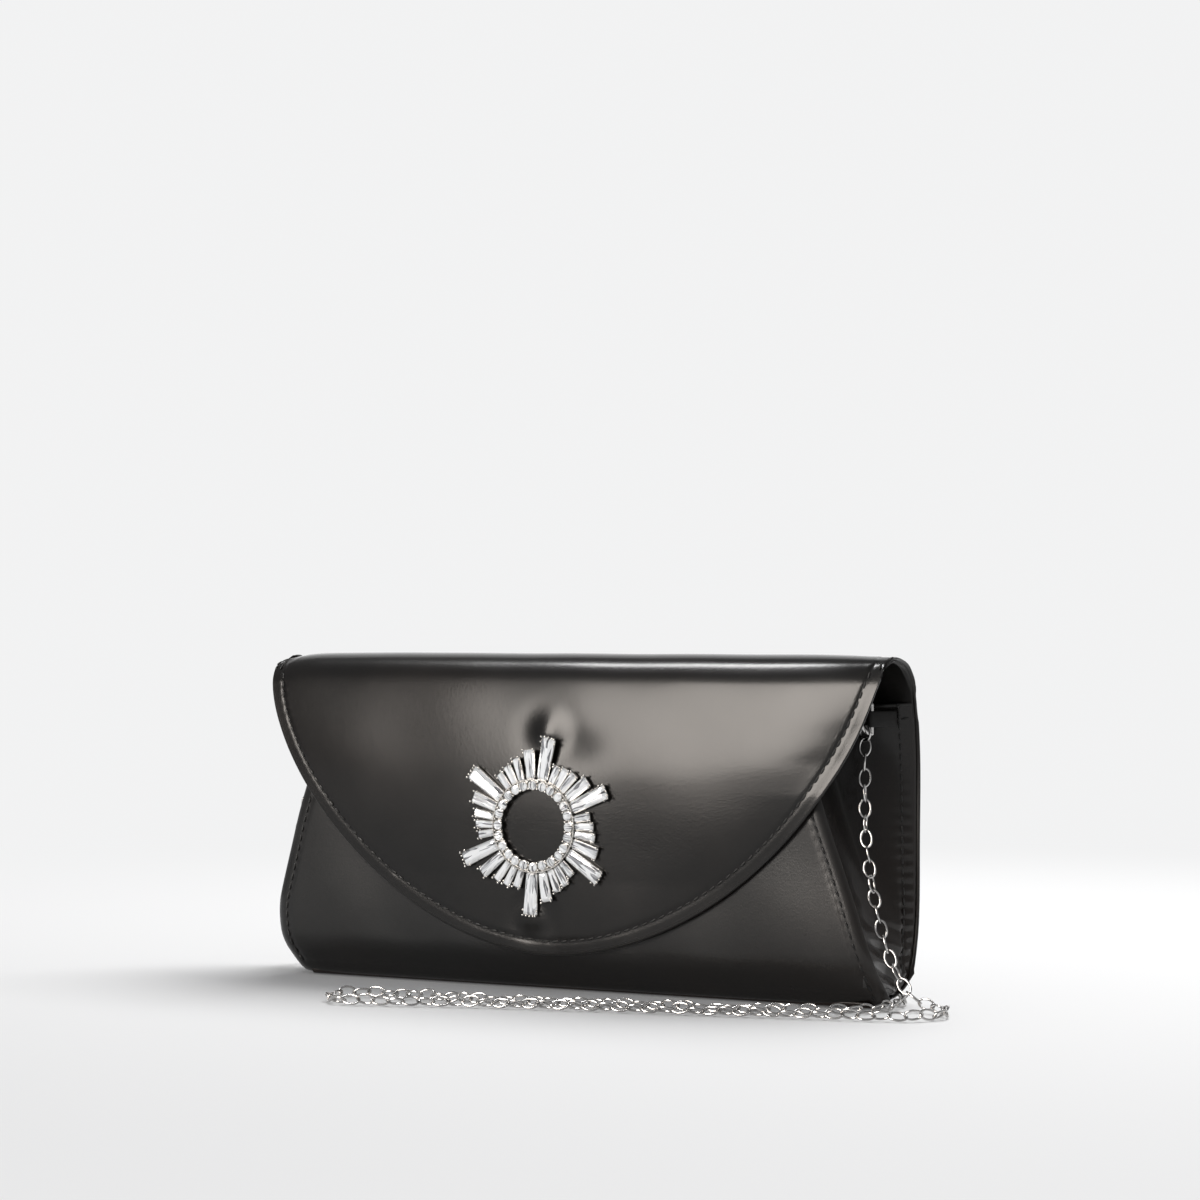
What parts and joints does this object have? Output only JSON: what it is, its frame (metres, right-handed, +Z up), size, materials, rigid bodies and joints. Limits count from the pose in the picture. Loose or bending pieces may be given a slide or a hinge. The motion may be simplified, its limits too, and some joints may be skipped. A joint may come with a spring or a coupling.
{
  "type": "evening bag",
  "caption": "Soft flap clutch in glossy black faux leather, with a crystal sunburst brooch on its rounded flap and a fine silver shoulder chain.",
  "frame": {"origin": "the mount base: the middle of the face it stands on, below the top fold", "axes": "+X along the width, to the right as seen from the front; -Y the front with the flap; +Z up"},
  "size_m": [0.2877, 0.123, 0.1201],
  "materials": {
    "leather": "smooth glossy black faux leather",
    "lining": "black woven lining",
    "board": "raw stiffening board",
    "thread": "black polyester thread",
    "chain": "bright silver plate",
    "plated_metal": "bright silver plate",
    "brooch_metal": "bright silver plate, cast",
    "crystal": "clear cut crystal, foil backed"
  },
  "bodies": {
    "shell": {"back_panel": "leather", "bottom_strip": "leather", "back_board": "board", "back_lining": "lining", "back_facing": "leather", "slip_pocket": "lining", "gusset_back_left": "leather", "gusset_back_right": "leather", "ring_tab_left": "leather", "ring_tab_right": "leather", "strap_ring_left": "plated_metal", "strap_ring_right": "plated_metal", "chain_end_ring_left": "plated_metal", "chain_end_ring_right": "plated_metal", "shoulder_chain": "chain"},
    "front": {"front_panel": "leather", "front_board": "board", "front_lining": "lining", "front_facing": "leather", "gusset_front_left": "leather", "gusset_front_right": "leather", "snap_socket": "plated_metal", "snap_socket_plate": "plated_metal"},
    "flap": {"flap_leather": "leather", "flap_board": "board", "flap_lining": "leather", "flap_thread": "thread", "snap_stud": "plated_metal", "snap_stud_plate": "plated_metal", "brooch_frame": "brooch_metal", "brooch_round_stones": "crystal", "brooch_long_stones": "crystal", "brooch_medium_stones": "crystal", "brooch_short_stones": "crystal", "brooch_prongs": "brooch_metal", "brooch_rivets": "brooch_metal", "brooch_washers": "brooch_metal"}
  },
  "joints": [
    {"name": "flap_hinge", "type": "hinge", "parent": "shell", "child": "flap", "pos_m": [0, 0.02352, 0.1008], "axis": [-1, 0, 0], "range_deg": [0, 190]},
    {"name": "mouth_hinge", "type": "hinge", "parent": "shell", "child": "front", "pos_m": [0, -0.004, 0.0015], "axis": [1, 0, 0], "range_deg": [0, 9]}
  ],
  "couplings": [
    {"joint": "mouth_hinge", "follows": "flap_hinge", "ratio": 0.047368}
  ]
}
